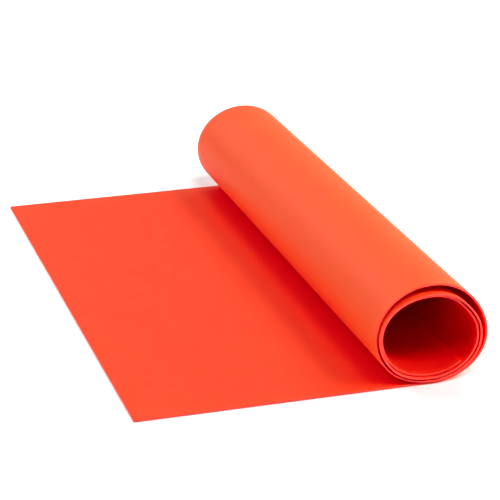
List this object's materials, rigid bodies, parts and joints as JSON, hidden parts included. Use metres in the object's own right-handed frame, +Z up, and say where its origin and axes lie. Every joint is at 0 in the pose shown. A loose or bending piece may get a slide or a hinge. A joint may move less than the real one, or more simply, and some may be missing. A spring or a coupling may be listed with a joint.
{
  "type": "craft foam sheet",
  "caption": "Plain soft foam sheet for crafts, lying partly unrolled: a flat run at one side and a loose oval roll at the other.",
  "frame": {"origin": "middle of the flat run's underside, on the floor that the sheet lies on", "axes": "+X along the sheet from its free edge to the roll, +Y across the sheet along the roll's axis to the far end, +Z up"},
  "size_m": [0.3242, 0.604, 0.095],
  "materials": {
    "foam": "matte"
  },
  "bodies": {
    "root": {"foam_sheet": "foam"}
  },
  "joints": []
}
